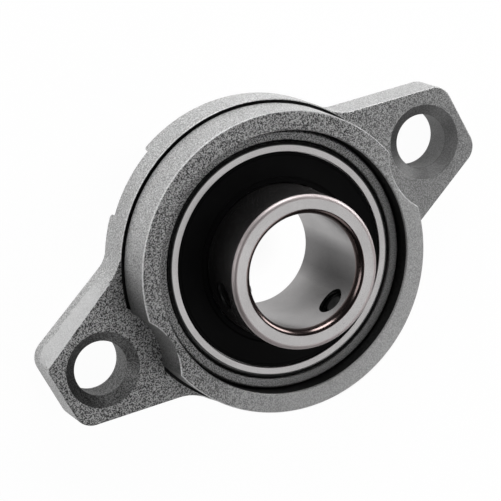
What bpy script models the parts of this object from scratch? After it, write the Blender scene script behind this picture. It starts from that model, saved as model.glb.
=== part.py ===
"""Two-bolt flange mount bearing for a 20 mm shaft, as separate pieces.

A die-cast housing lies on its back face (z = 0). Its spherical seat holds an insert: a cast carrier ring
round a sealed ball bearing, whose long inner ring clamps the shaft with two set screws. The bore runs
along +Z, towards the nose, and the two ears lie along X.
"""

import math

import bmesh
import bpy
from mathutils import Matrix, Vector

# Every length below is in millimetres and every angle in degrees. MM turns a length into metres.
MM = 0.001

# Driving dimensions
BORE_RADIUS = 10.0
BOLT_SPACING = 71.0
BOLT_HOLE_RADIUS = 4.85
BOLT_HOLE_BACK_RADIUS = 5.1
BEARING_RADIUS = 21.0
BEARING_WIDTH = 12.0
SPHERE_RADIUS = 23.45
INSERT_CENTRE = 7.43

# Housing
FLANGE_THICKNESS = 7.6
HOUSING_HEIGHT = 16.0
RIM_RADIUS = 27.5
EAR_REACH = 43.9
EAR_FLANK_ANGLE = 18.4
EAR_FLANK_DISTANCE = 20.5
EAR_TIP_RADIUS = 3.5
BACK_BLEND_RADIUS = 5.0
FRONT_BLEND_RADIUS = 8.0
FLANGE_DRAFT = 0.02
BOSS_BASE_RADIUS = 26.8
BOSS_TOP_RADIUS = 26.6
BOLT_CLEARANCE_BASE = 10.75
BOLT_CLEARANCE_TOP = 11.1
COUNTERSINK_RADIUS = 6.75
COUNTERSINK_DEPTH = 1.22
SEAT_CLEARANCE = 0.15
SEAT_MOUTH_RADIUS = 23.18
GROOVE_INNER_RADIUS = 26.2
GROOVE_OUTER_RADIUS = 27.25
GROOVE_BOTTOM = 6.8
GROOVE_TOP = 7.8
GROOVE_STOP_RADIUS = 11.3  # the groove stops this far from each bolt's axis
SLOT_ANGLE = 120.0
SLOT_WIDTH = 12.1
RELIEF_WIDTH = 12.5
RELIEF_DEPTH = 2.1
TRIM_LENGTH = 19.0
TRIM_TILT = 20.5
TRIM_START = (-44.5, 5.55)
TRIM_SLOPE = 21.0
TRIM_BLOCK = 6.0

# Bearing rings
CARRIER_BORE_RADIUS = 21.16
CARRIER_FACE_RADIUS = 22.4
CARRIER_ROUNDING_DROP = 0.65
CARRIER_CORNER_WIDTH = 0.35
CARRIER_CORNER_DROP = 0.2
RING_CORNER = 0.8
SEAL_RECESS_RADIUS = 19.11
SEAL_RECESS_DEPTH = 1.3
OUTER_LAND_RADIUS = 17.45
INNER_RING_RADIUS = 13.5
INNER_RING_FRONT = 23.95
INNER_RING_BACK = 1.5
BORE_MOUTH_RADIUS = 11.16
BORE_MOUTH_DEPTH = 1.5
BORE_END_CHAMFER = 0.6

# Balls and cage
BALL_COUNT = 9
BALL_RADIUS = 3.175
PITCH_RADIUS = 15.5
RACE_RADIUS = 3.3
FIRST_BALL_ANGLE = 10.0
CAGE_INNER_RADIUS = 14.3
CAGE_OUTER_RADIUS = 16.8
CAGE_SHEET = 0.5
CAGE_BLANK_MARGIN = 0.4
CAGE_HALF_GAP = 0.06
POCKET_RADIUS = 3.35
RIVET_RADIUS = 0.45
RIVET_HOLE_RADIUS = 0.6
RIVET_HEAD_RADIUS = 0.9
RIVET_HEAD_HEIGHT = 0.35
RIVET_HEAD_GAP = 0.08

# Seals: each is a rubber disc, with its stiffening washer behind it
SEAL_INNER_RADIUS = 13.65
SEAL_OUTER_RADIUS = 18.97
SEAL_SET_BACK = 0.2
SEAL_WEB = 0.5
SEAL_EDGE_DEPTH = 0.95
SEAL_LIP_WIDTH = 0.75
SEAL_BEAD_WIDTH = 0.5
CORE_GAP = 0.1
CORE_SHEET = 0.25

# Set screws: outward direction of each, and how far its tip stands from the shaft axis
SCREW_HEIGHT = 18.57
SCREWS = {"set_screw_1": (167.0, 8.9), "set_screw_2": (-73.0, 10.6)}
SCREW_RADIUS = 2.4
SCREW_HOLE_RADIUS = 2.5
SCREW_LENGTH = 4.0
SCREW_POINT_FLAT = 0.5
SCREW_TOP_CHAMFER = 0.3
SOCKET_ACROSS_FLATS = 2.5
SOCKET_DEPTH = 1.7
CUP_RADIUS = 1.2
CUP_DEPTH = 0.5

# How finely round shapes are divided
RING_STEPS = 48
SEAL_STEPS = 36
CAGE_STEPS = 36
HOLE_STEPS = 24
BALL_SEGMENTS = 14
BALL_RINGS = 8
RIVET_STEPS = 8


def clear_scene():
    for obj in list(bpy.data.objects):
        bpy.data.objects.remove(obj, do_unlink=True)


def make_material(name, colour, metallic, roughness):
    material = bpy.data.materials.new(name)
    material.use_nodes = True
    shader = material.node_tree.nodes["Principled BSDF"]
    shader.inputs["Base Color"].default_value = (*colour, 1.0)
    shader.inputs["Metallic"].default_value = metallic
    shader.inputs["Roughness"].default_value = roughness
    material.diffuse_color = (*colour, 1.0)
    return material


def add_object(name, mesh, material=None, parent=None, matrix=None):
    """Put the mesh in the scene under its parent, standing where matrix says in world space."""
    obj = bpy.data.objects.new(name, mesh)
    bpy.context.scene.collection.objects.link(obj)
    if material:
        mesh.materials.clear()
        mesh.materials.append(material)
    matrix = matrix or Matrix.Identity(4)
    if parent:
        obj.parent = parent
        matrix = world_matrix(parent).inverted() @ matrix
    obj.matrix_basis = matrix
    return obj


def world_matrix(obj):
    """Where an object stands, worked out before the scene is first evaluated."""
    if obj.parent:
        return world_matrix(obj.parent) @ obj.matrix_basis
    return obj.matrix_basis.copy()


def add_pivot(name, height, parent=None):
    """An empty on the bore axis, which marks a joint."""
    place = Matrix.Translation((0, 0, height * MM))
    return add_object(name, None, parent=parent, matrix=place)


def arc(centre, radius, start, end, steps):
    """Points (across, up) along an arc, both ends included."""
    points = []
    for i in range(steps + 1):
        angle = math.radians(start + (end - start) * i / steps)
        points.append((centre[0] + radius * math.cos(angle), centre[1] + radius * math.sin(angle)))
    return points


def finish_mesh(name, bm):
    """Faces outward, round surfaces smooth, edges over 30 degrees sharp."""
    bmesh.ops.recalc_face_normals(bm, faces=bm.faces)
    mesh = bpy.data.meshes.new(name)
    bm.to_mesh(mesh)
    bm.free()
    mesh.shade_smooth()
    mesh.set_sharp_from_angle(angle=math.radians(30))
    return mesh


def turned_mesh(name, profile, steps):
    """Turn a closed outline of (radius, height) points about Z. Points at radius 0 meet on the axis."""
    bm = bmesh.new()
    verts = [bm.verts.new((radius * MM, 0, height * MM)) for radius, height in profile]
    on_axis = [radius == 0 for radius, height in profile]
    edges = []
    for i, vert in enumerate(verts):
        following = (i + 1) % len(verts)
        if not (on_axis[i] and on_axis[following]):
            edges.append(bm.edges.new((vert, verts[following])))
    bmesh.ops.spin(
        bm, geom=verts + edges, cent=(0, 0, 0), axis=(0, 0, 1), angle=math.tau, steps=steps, use_merge=True
    )
    bmesh.ops.remove_doubles(bm, verts=bm.verts, dist=1e-7)
    return finish_mesh(name, bm)


def ring_section(inner, outer, low, high):
    return [(inner, low), (outer, low), (outer, high), (inner, high)]


def lofted_mesh(name, layers):
    """Join outlines of equal point count, given as (points, height), and close both ends."""
    bm = bmesh.new()
    rings = [[bm.verts.new((x * MM, y * MM, height * MM)) for x, y in points] for points, height in layers]
    for low, high in zip(rings, rings[1:]):
        for i, vert in enumerate(low):
            j = (i + 1) % len(low)
            bm.faces.new((vert, low[j], high[j], high[i]))
    bm.faces.new(rings[0])
    bm.faces.new(rings[-1])
    return finish_mesh(name, bm)


def box_mesh(name, low, high):
    outline = [(low[0], low[1]), (high[0], low[1]), (high[0], high[1]), (low[0], high[1])]
    return lofted_mesh(name, [(outline, low[2]), (outline, high[2])])


def cylinder_mesh(name, radius, low, high, steps=HOLE_STEPS):
    circle = arc((0, 0), radius, 0, 360, steps)[:-1]
    return lofted_mesh(name, [(circle, low), (circle, high)])


def copies_mesh(name, mesh, places):
    """One mesh holding a copy of the given mesh at each place."""
    bm = bmesh.new()
    for place in places:
        start = len(bm.verts)
        bm.from_mesh(mesh)
        bm.verts.ensure_lookup_table()
        bmesh.ops.transform(bm, matrix=place, verts=bm.verts[start:])
    return finish_mesh(name, bm)


def add_cutter(name, mesh, matrix=None):
    cutter = add_object(name, mesh, matrix=matrix)
    cutter.hide_render = True
    cutter.display_type = "WIRE"
    return cutter


def combine(obj, other, operation):
    modifier = obj.modifiers.new(other.name, "BOOLEAN")
    modifier.operation = operation
    modifier.solver = "EXACT"
    modifier.object = other


def around(angle, radius=0.0, height=0.0):
    """A place that far from the axis, turned so that its X points outward."""
    turn = Matrix.Rotation(math.radians(angle), 4, "Z")
    return turn @ Matrix.Translation((radius * MM, 0, height * MM))


def all_four_corners(quarter):
    """A closed outline from the points of its first quadrant, which run from +Y round to +X."""
    upper_left = [(-x, y) for x, y in reversed(quarter)]
    lower_left = [(-x, -y) for x, y in quarter]
    lower_right = [(x, -y) for x, y in reversed(quarter)]
    joined = []
    for point in quarter[::-1] + upper_left[::-1] + lower_left[::-1] + lower_right[::-1]:
        if not joined or math.dist(point, joined[-1]) > 1e-6:
            joined.append(point)
    if math.dist(joined[0], joined[-1]) < 1e-6:
        joined.pop()
    return joined


def flange_outline(inset, blend_radius):
    """Round rim that blends into two straight-sided ears with rounded tips."""
    rim = RIM_RADIUS - inset
    flank = EAR_FLANK_DISTANCE - inset
    reach = EAR_REACH - inset
    slope = math.radians(EAR_FLANK_ANGLE)
    outward = (math.sin(slope), math.cos(slope))
    along = (math.cos(slope), -math.sin(slope))
    far = flank + blend_radius
    run = math.sqrt((rim + blend_radius) ** 2 - far**2)
    blend = (far * outward[0] + run * along[0], far * outward[1] + run * along[1])
    toward_rim = math.degrees(math.atan2(blend[1], blend[0]))
    tip_x = reach - EAR_TIP_RADIUS
    tip_y = (flank - EAR_TIP_RADIUS - tip_x * outward[0]) / outward[1]
    quarter = arc((0, 0), rim, 90, toward_rim, 8)
    quarter += arc(blend, blend_radius, 180 + toward_rim, 270 - EAR_FLANK_ANGLE, 3)[1:]
    quarter += arc((tip_x, tip_y), EAR_TIP_RADIUS, 90 - EAR_FLANK_ANGLE, 0, 4)
    return all_four_corners(quarter)


def boss_outline(boss_radius, clearance):
    """Circle with a scallop round each bolt, for the bolt head and its spanner."""
    bolt_x = BOLT_SPACING / 2
    meet_x = (boss_radius**2 - clearance**2 + bolt_x**2) / (2 * bolt_x)
    meet_y = math.sqrt(boss_radius**2 - meet_x**2)
    meet_angle = math.degrees(math.atan2(meet_y, meet_x))
    scallop_angle = math.degrees(math.atan2(meet_y, meet_x - bolt_x))
    quarter = arc((0, 0), boss_radius, 90, meet_angle, 9)
    quarter += arc((bolt_x, 0), clearance, scallop_angle, 180, 3)[1:]
    return all_four_corners(quarter)


def seat_profile():
    """All that is inside the housing: a spherical seat, open at the back, straight at the mouth."""
    seat_radius = SPHERE_RADIUS + SEAT_CLEARANCE
    back = -math.degrees(math.asin(INSERT_CENTRE / seat_radius))
    mouth = math.degrees(math.acos(SEAT_MOUTH_RADIUS / seat_radius))
    curve = arc((0, INSERT_CENTRE), seat_radius, back, mouth, 7)
    beyond = HOUSING_HEIGHT + 1
    return [(0, beyond), (SEAT_MOUTH_RADIUS, beyond)] + curve[::-1] + [(curve[0][0], -1), (0, -1)]


def base_groove():
    """Shallow groove round the foot of the boss, which leaves out the pads round the bolts."""
    section = ring_section(GROOVE_INNER_RADIUS, GROOVE_OUTER_RADIUS, GROOVE_BOTTOM, GROOVE_TOP)
    groove = add_cutter("base_groove", turned_mesh("base_groove", section, RING_STEPS))
    for side, name in ((-1, "left"), (1, "right")):
        pad = cylinder_mesh("bolt_pad_" + name, GROOVE_STOP_RADIUS, GROOVE_BOTTOM - 1, GROOVE_TOP + 1)
        centre = Matrix.Translation((side * BOLT_SPACING / 2 * MM, 0, 0))
        combine(groove, add_cutter("bolt_pad_" + name, pad, centre), "DIFFERENCE")
    return groove


def build_housing(material):
    back = flange_outline(0, BACK_BLEND_RADIUS)
    front = flange_outline(FLANGE_DRAFT, FRONT_BLEND_RADIUS)
    flange = lofted_mesh("housing", [(back, 0), (front, FLANGE_THICKNESS)])
    housing = add_object("housing", flange, material)
    boss = lofted_mesh(
        "boss",
        [
            (boss_outline(BOSS_BASE_RADIUS, BOLT_CLEARANCE_BASE), FLANGE_THICKNESS / 2),
            (boss_outline(BOSS_TOP_RADIUS, BOLT_CLEARANCE_TOP), HOUSING_HEIGHT),
        ],
    )
    combine(housing, add_cutter("boss", boss), "UNION")
    combine(housing, base_groove(), "DIFFERENCE")
    seat = turned_mesh("seat", seat_profile(), RING_STEPS)
    combine(housing, add_cutter("seat", seat), "DIFFERENCE")
    for side, name in ((-1, "left"), (1, "right")):
        cut_bolt_hole(housing, "bolt_hole_" + name, side * BOLT_SPACING / 2)
    cut_loading_slots(housing)
    trim_left_ear(housing)
    return housing


def cut_bolt_hole(housing, name, x):
    top = FLANGE_THICKNESS
    spread = COUNTERSINK_RADIUS - BOLT_HOLE_RADIUS
    profile = [
        (0, top + COUNTERSINK_DEPTH),
        (COUNTERSINK_RADIUS + spread, top + COUNTERSINK_DEPTH),
        (BOLT_HOLE_RADIUS, top - COUNTERSINK_DEPTH),
        (BOLT_HOLE_BACK_RADIUS, 0),
        (BOLT_HOLE_BACK_RADIUS, -1),
        (0, -1),
    ]
    hole = turned_mesh(name, profile, HOLE_STEPS)
    combine(housing, add_cutter(name, hole, Matrix.Translation((x * MM, 0, 0))), "DIFFERENCE")


def cut_loading_slots(housing):
    """Two slots in the back, where the insert goes in edgeways, and a shallow relief across the rim."""
    cut_across_back(housing, "loading_slots", SPHERE_RADIUS + SEAT_CLEARANCE, SLOT_WIDTH, INSERT_CENTRE)
    cut_across_back(housing, "back_relief", RIM_RADIUS + 3, RELIEF_WIDTH, RELIEF_DEPTH)


def cut_across_back(housing, name, reach, width, depth):
    block = box_mesh(name, (-reach, -width / 2, -1), (reach, width / 2, depth))
    combine(housing, add_cutter(name, block, around(SLOT_ANGLE)), "DIFFERENCE")


def trim_left_ear(housing):
    """Sloping trim along the front edge of the left ear's upper flank."""
    block = box_mesh("ear_trim", (0, 0, -TRIM_BLOCK), (TRIM_LENGTH, TRIM_BLOCK, TRIM_BLOCK))
    start = Vector((TRIM_START[0] * MM, TRIM_START[1] * MM, FLANGE_THICKNESS * MM))
    slope = Matrix.Rotation(math.radians(TRIM_SLOPE), 4, "Z")
    tilt = Matrix.Rotation(math.radians(TRIM_TILT), 4, "X")
    combine(housing, add_cutter("ear_trim", block, Matrix.Translation(start) @ slope @ tilt), "DIFFERENCE")


def both_faces(profile):
    """Complete the front half of a ring's outline with its mirror image behind the insert's centre."""
    mirrored = [(radius, 2 * INSERT_CENTRE - height) for radius, height in reversed(profile)]
    return profile + mirrored


def build_carrier_ring(material, pivot):
    face = INSERT_CENTRE + BEARING_WIDTH / 2
    edge_height = BEARING_WIDTH / 2 - CARRIER_ROUNDING_DROP
    sphere_start = math.degrees(math.asin(edge_height / SPHERE_RADIUS))
    front = [
        (CARRIER_BORE_RADIUS, face),
        (CARRIER_FACE_RADIUS, face),
        (CARRIER_FACE_RADIUS + CARRIER_CORNER_WIDTH, face - CARRIER_CORNER_DROP),
    ]
    front += arc((0, INSERT_CENTRE), SPHERE_RADIUS, sphere_start, sphere_start / 4, 3)
    mesh = turned_mesh("carrier_ring", both_faces(front), RING_STEPS)
    return add_object("carrier_ring", mesh, material, pivot)


def build_outer_ring(material, pivot):
    face = INSERT_CENTRE + BEARING_WIDTH / 2
    recess = face - SEAL_RECESS_DEPTH
    race_edge = math.degrees(math.acos((OUTER_LAND_RADIUS - PITCH_RADIUS) / RACE_RADIUS))
    race = arc((PITCH_RADIUS, INSERT_CENTRE), RACE_RADIUS, race_edge, race_edge / 8, 3)
    front = race[::-1]
    front += [(OUTER_LAND_RADIUS, recess), (SEAL_RECESS_RADIUS, recess), (SEAL_RECESS_RADIUS, face)]
    front += arc((BEARING_RADIUS - RING_CORNER, face - RING_CORNER), RING_CORNER, 90, 0, 3)
    mesh = turned_mesh("outer_ring", both_faces(front), RING_STEPS)
    return add_object("outer_ring", mesh, material, pivot)


def inner_ring_profile():
    front, back = INNER_RING_FRONT, INNER_RING_BACK
    corner = RING_CORNER
    reach = PITCH_RADIUS - INNER_RING_RADIUS
    race_edge = math.degrees(math.acos(reach / RACE_RADIUS))
    profile = [(BORE_RADIUS, back + BORE_END_CHAMFER), (BORE_RADIUS + BORE_END_CHAMFER, back)]
    profile += arc((INNER_RING_RADIUS - corner, back + corner), corner, -90, 0, 2)
    profile += arc((PITCH_RADIUS, INSERT_CENTRE), RACE_RADIUS, 180 + race_edge, 180 - race_edge, 6)
    profile += arc((INNER_RING_RADIUS - corner, front - corner), corner, 0, 90, 3)
    for step in range(4):
        angle = math.radians(90 * step / 3)
        radius = BORE_MOUTH_RADIUS - (BORE_MOUTH_RADIUS - BORE_RADIUS) * math.sin(angle)
        profile.append((radius, front - BORE_MOUTH_DEPTH * (1 - math.cos(angle))))
    return profile


def build_inner_ring(material, pivot):
    mesh = turned_mesh("inner_ring", inner_ring_profile(), RING_STEPS)
    ring = add_object("inner_ring", mesh, material, pivot)
    drill = cylinder_mesh("screw_hole", SCREW_HOLE_RADIUS, BORE_RADIUS - 3, INNER_RING_RADIUS + 3)
    for name, (direction, tip) in SCREWS.items():
        combine(ring, add_cutter(name + "_hole", drill, screw_place(direction, 0)), "DIFFERENCE")
    return ring


def screw_place(direction, distance):
    """A place on a set screw's axis, turned so that its Z points outward."""
    return around(direction, distance, SCREW_HEIGHT) @ Matrix.Rotation(math.radians(90), 4, "Y")


def build_balls(material, parent):
    bm = bmesh.new()
    bmesh.ops.create_uvsphere(bm, u_segments=BALL_SEGMENTS, v_segments=BALL_RINGS, radius=BALL_RADIUS * MM)
    ball = finish_mesh("ball", bm)
    for i, angle in enumerate(ball_angles()):
        add_object(f"ball_{i + 1}", ball, material, parent, around(angle, PITCH_RADIUS, INSERT_CENTRE))


def ball_angles():
    return [FIRST_BALL_ANGLE + 360 * i / BALL_COUNT for i in range(BALL_COUNT)]


def pocket_cutter(name, radius):
    """A ball of the given radius at every ball's place."""
    bm = bmesh.new()
    bmesh.ops.create_uvsphere(bm, u_segments=12, v_segments=8, radius=radius * MM)
    sphere = finish_mesh(name, bm)
    places = [around(angle, PITCH_RADIUS, INSERT_CENTRE) for angle in ball_angles()]
    return add_cutter(name, copies_mesh(name, sphere, places))


def rivet_angles():
    return [angle + 180 / BALL_COUNT for angle in ball_angles()]


def build_cage(material, parent):
    """Two pressed halves that meet between the balls, each with a pocket round every ball."""
    bulges = pocket_cutter("pocket_bulges", POCKET_RADIUS + CAGE_SHEET)
    hollows = pocket_cutter("pocket_hollows", POCKET_RADIUS)
    hole = cylinder_mesh("rivet_hole", RIVET_HOLE_RADIUS, -1.5, 1.5, 8)
    holes = copies_mesh("rivet_holes", hole, [around(angle, PITCH_RADIUS) for angle in rivet_angles()])
    hole_cutter = add_cutter("rivet_holes", holes, Matrix.Translation((0, 0, INSERT_CENTRE * MM)))
    blank = CAGE_HALF_GAP + CAGE_SHEET
    sheet = ring_section(
        CAGE_INNER_RADIUS - CAGE_BLANK_MARGIN, CAGE_OUTER_RADIUS + CAGE_BLANK_MARGIN, -blank, blank
    )
    band = ring_section(CAGE_INNER_RADIUS, CAGE_OUTER_RADIUS, CAGE_HALF_GAP, BALL_RADIUS * 2)
    for name, flip in (("cage_front_half", 0), ("cage_back_half", math.pi)):
        centre = Matrix.Translation((0, 0, INSERT_CENTRE * MM)) @ Matrix.Rotation(flip, 4, "X")
        half = add_object(name, turned_mesh(name, sheet, CAGE_STEPS), material, parent, centre)
        band_cutter = add_cutter(name + "_band", turned_mesh(name, band, CAGE_STEPS), centre)
        combine(half, bulges, "UNION")
        combine(half, band_cutter, "INTERSECT")
        combine(half, hollows, "DIFFERENCE")
        combine(half, hole_cutter, "DIFFERENCE")


def build_rivets(material, parent):
    sheet_face = CAGE_HALF_GAP + CAGE_SHEET + RIVET_HEAD_GAP
    top = sheet_face + RIVET_HEAD_HEIGHT
    head = [(0, top), (RIVET_HEAD_RADIUS, top), (RIVET_HEAD_RADIUS, sheet_face)]
    upper = head + [(RIVET_RADIUS, sheet_face)]
    lower = [(radius, -height) for radius, height in reversed(upper)]
    rivet = turned_mesh("rivet", upper + lower, RIVET_STEPS)
    for i, angle in enumerate(rivet_angles()):
        place = around(angle, PITCH_RADIUS, INSERT_CENTRE)
        add_object(f"cage_rivet_{i + 1}", rivet, material, parent, place)


def seal_profile():
    """Rubber disc with a bead at its rim and a lip at the inner ring, seen from the insert's centre."""
    front = BEARING_WIDTH / 2 - SEAL_SET_BACK
    web = front - SEAL_WEB
    back = front - SEAL_EDGE_DEPTH
    return [
        (SEAL_INNER_RADIUS, front),
        (SEAL_INNER_RADIUS, back),
        (SEAL_INNER_RADIUS + SEAL_LIP_WIDTH, back),
        (SEAL_INNER_RADIUS + SEAL_LIP_WIDTH, web),
        (SEAL_OUTER_RADIUS - SEAL_BEAD_WIDTH, web),
        (SEAL_OUTER_RADIUS - SEAL_BEAD_WIDTH, back),
        (SEAL_OUTER_RADIUS, back),
        (SEAL_OUTER_RADIUS, front),
    ]


def build_seals(rubber, steel, pivot):
    core_top = BEARING_WIDTH / 2 - SEAL_SET_BACK - SEAL_WEB - CORE_GAP
    core = ring_section(
        SEAL_INNER_RADIUS + SEAL_LIP_WIDTH + CORE_GAP,
        SEAL_OUTER_RADIUS - SEAL_BEAD_WIDTH - CORE_GAP,
        core_top - CORE_SHEET,
        core_top,
    )
    for name, flip in (("front_seal", 0), ("back_seal", math.pi)):
        place = Matrix.Translation((0, 0, INSERT_CENTRE * MM)) @ Matrix.Rotation(flip, 4, "X")
        add_object(name, turned_mesh(name, seal_profile(), SEAL_STEPS), rubber, pivot, place)
        add_object(name + "_core", turned_mesh(name, core, SEAL_STEPS), steel, pivot, place)


def build_set_screws(material, parent):
    """Socket screws with a cup point, whose origin is the middle of the tip."""
    chamfer = SCREW_RADIUS - CUP_RADIUS - SCREW_POINT_FLAT
    profile = [
        (0, CUP_DEPTH),
        (CUP_RADIUS, 0),
        (SCREW_RADIUS - chamfer, 0),
        (SCREW_RADIUS, chamfer),
        (SCREW_RADIUS, SCREW_LENGTH - SCREW_TOP_CHAMFER),
        (SCREW_RADIUS - SCREW_TOP_CHAMFER, SCREW_LENGTH),
        (0, SCREW_LENGTH),
    ]
    corner_radius = SOCKET_ACROSS_FLATS / 2 / math.cos(math.radians(30))
    socket = cylinder_mesh("socket", corner_radius, SCREW_LENGTH - SOCKET_DEPTH, SCREW_LENGTH + 1, 6)
    for name, (direction, tip) in SCREWS.items():
        place = screw_place(direction, tip)
        screw = add_object(name, turned_mesh(name, profile, HOLE_STEPS), material, parent, place)
        combine(screw, add_cutter(name + "_socket", socket, place), "DIFFERENCE")


def main():
    clear_scene()
    casting = make_material("cast_zinc", (0.36, 0.36, 0.37), 0.7, 0.55)
    carrier = make_material("carrier_zinc", (0.22, 0.22, 0.23), 0.7, 0.6)
    ring_steel = make_material("bearing_steel", (0.62, 0.60, 0.60), 1.0, 0.3)
    ball_steel = make_material("ball_steel", (0.75, 0.75, 0.77), 1.0, 0.08)
    sheet_steel = make_material("sheet_steel", (0.55, 0.54, 0.52), 1.0, 0.35)
    rubber = make_material("seal_rubber", (0.012, 0.012, 0.013), 0.0, 0.5)
    black_steel = make_material("black_steel", (0.03, 0.03, 0.03), 0.8, 0.4)

    build_housing(casting)
    insert = add_pivot("insert_pivot", INSERT_CENTRE)
    spin = add_pivot("inner_ring_axis", INSERT_CENTRE, insert)
    orbit = add_pivot("cage_axis", INSERT_CENTRE, insert)
    build_carrier_ring(carrier, insert)
    build_outer_ring(ring_steel, insert)
    build_seals(rubber, sheet_steel, insert)
    build_inner_ring(ring_steel, spin)
    build_set_screws(black_steel, spin)
    build_balls(ball_steel, orbit)
    build_cage(sheet_steel, orbit)
    build_rivets(sheet_steel, orbit)


main()
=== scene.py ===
"""Looks of a two-bolt flange mount bearing, built round its CAD frame.

Every visible piece is modelled again here, finely divided and with its small edge radii, and stands for
the CAD node of the same name. Sizes are in millimetres and angles in degrees; MM turns a length into metres.
The part lies on its back on a pale floor, with the shaft bore along +Z.
"""

import math

import bmesh
import bpy
from mathutils import Matrix, Vector

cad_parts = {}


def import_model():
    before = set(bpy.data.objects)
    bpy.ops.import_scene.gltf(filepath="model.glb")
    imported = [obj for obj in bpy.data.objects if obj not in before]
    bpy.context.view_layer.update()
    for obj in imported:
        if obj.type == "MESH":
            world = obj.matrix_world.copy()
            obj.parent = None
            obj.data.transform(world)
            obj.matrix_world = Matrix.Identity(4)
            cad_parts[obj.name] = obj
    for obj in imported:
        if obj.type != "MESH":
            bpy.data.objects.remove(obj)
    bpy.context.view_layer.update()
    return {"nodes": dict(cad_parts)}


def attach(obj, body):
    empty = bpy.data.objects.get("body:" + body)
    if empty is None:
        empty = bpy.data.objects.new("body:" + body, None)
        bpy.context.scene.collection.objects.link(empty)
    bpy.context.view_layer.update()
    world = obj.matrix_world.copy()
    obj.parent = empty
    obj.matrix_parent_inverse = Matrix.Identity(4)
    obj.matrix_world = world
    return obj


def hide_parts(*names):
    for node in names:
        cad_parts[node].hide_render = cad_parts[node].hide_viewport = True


MM = 0.001

# Housing
FLANGE_THICKNESS = 7.6
HOUSING_HEIGHT = 16.0
RIM_RADIUS = 27.5
EAR_REACH = 43.9
EAR_FLANK_ANGLE = 18.4
EAR_FLANK_DISTANCE = 20.5
EAR_TIP_RADIUS = 3.5
BACK_BLEND_RADIUS = 5.0
FRONT_BLEND_RADIUS = 8.0
FLANGE_DRAFT = 0.02
BOSS_BASE_RADIUS = 26.8
BOSS_TOP_RADIUS = 26.6
BOLT_SPACING = 71.0
BOLT_CLEARANCE_BASE = 10.75
BOLT_CLEARANCE_TOP = 11.1
BOSS_CORNER_RADIUS = 0.5
EDGE_RADIUS = 0.3
BOLT_HOLE_RADIUS = 4.85
BOLT_HOLE_BACK_RADIUS = 5.1
COUNTERSINK_RADIUS = 6.75
COUNTERSINK_DEPTH = 1.22
GROOVE_INNER_RADIUS = 26.2
GROOVE_OUTER_RADIUS = 27.25
GROOVE_BOTTOM = 6.8
GROOVE_TOP = 7.8
GROOVE_STOP_RADIUS = 11.3
SEAT_MOUTH_RADIUS = 23.18
SEAT_RADIUS = 23.6
SLOT_ANGLE = 120.0
SLOT_WIDTH = 12.1
RELIEF_WIDTH = 12.5
RELIEF_DEPTH = 2.1
RELIEF_CORNER = 1.3
TRIM_START = (-44.5, 5.55)
TRIM_SLOPE = 21.0
TRIM_TILT = 20.5
TRIM_LENGTH = 19.0
TRIM_BLOCK = 6.0
TRIM_WAVE = 0.02

# Insert
INSERT_CENTRE = 7.43
HALF_WIDTH = 6.0
SPHERE_RADIUS = 23.45
CARRIER_BORE_RADIUS = 21.16
CARRIER_FACE_RADIUS = 22.4
CARRIER_ROUNDING_DROP = 0.65
BEARING_RADIUS = 21.0
RING_CORNER = 0.8
SEAL_RECESS_RADIUS = 19.11
SEAL_RECESS_DEPTH = 1.3
OUTER_LAND_RADIUS = 17.45
PITCH_RADIUS = 15.5
RACE_RADIUS = 3.3
BALL_RADIUS = 3.175
BALL_COUNT = 9
FIRST_BALL_ANGLE = 10.0
SEAL_INNER_RADIUS = 13.65
SEAL_OUTER_RADIUS = 18.97
SEAL_SET_BACK = 0.2
SEAL_WEB = 0.5
SEAL_EDGE_DEPTH = 0.95
SEAL_LIP_WIDTH = 0.75
SEAL_BEAD_WIDTH = 0.5

# Inner ring and set screws
BORE_RADIUS = 10.0
INNER_RING_RADIUS = 13.5
INNER_RING_FRONT = 23.95
INNER_RING_BACK = 1.5
BORE_MOUTH_RADIUS = 11.16
BORE_MOUTH_DEPTH = 1.5
SCREW_HEIGHT = 18.57
SCREWS = {"set_screw_1": (167.0, 8.9), "set_screw_2": (-73.0, 10.6)}
SCREW_RADIUS = 2.4
SCREW_HOLE_RADIUS = 2.5
TAP_CLEARANCE = 0.15
TAP_DEPTH = 0.22
SCREW_LENGTH = 4.0
THREAD_PITCH = 0.8
THREAD_DEPTH = 0.3
SOCKET_ACROSS_FLATS = 2.5
SOCKET_DEPTH = 1.7
CUP_RADIUS = 1.2
CUP_DEPTH = 0.5

# How finely round shapes are divided
RING_STEPS = 192
HOLE_STEPS = 96
CORNER_STEPS = 4

# Camera and studio, in metres
CAMERA_PLACE = (-0.10029, 0.16260, 0.38592)
CAMERA_AIM = (-0.00265, 0.00292, 0.009)
CAMERA_ROLL = 115.98
CAMERA_LENS = 173.7
FLOOR_SEEN = 1.0
FLOOR_SHADOW = 0.05
FLOOR_GLOW = 0.36
LIGHT_DISTANCE = 0.7
LIGHT_SIZE = 0.35
LIGHTS = {  # azimuth, elevation, brightness
    "low_rear": (60, 15, 9.0),
    "low_right": (0, 15, 7.2),
    "low_left": (140, 30, 2.6),
    "front": (-120, 35, 1.0),
    "front_right": (-60, 35, 1.8),
    "overhead": (-59, 70, 1.6),
}


# ---------------------------------------------------------------- outlines


def arc(centre, radius, start, end, steps):
    """Points (across, up) along an arc, both ends included."""
    points = []
    for i in range(steps + 1):
        angle = math.radians(start + (end - start) * i / steps)
        points.append((centre[0] + radius * math.cos(angle), centre[1] + radius * math.sin(angle)))
    return points


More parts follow.
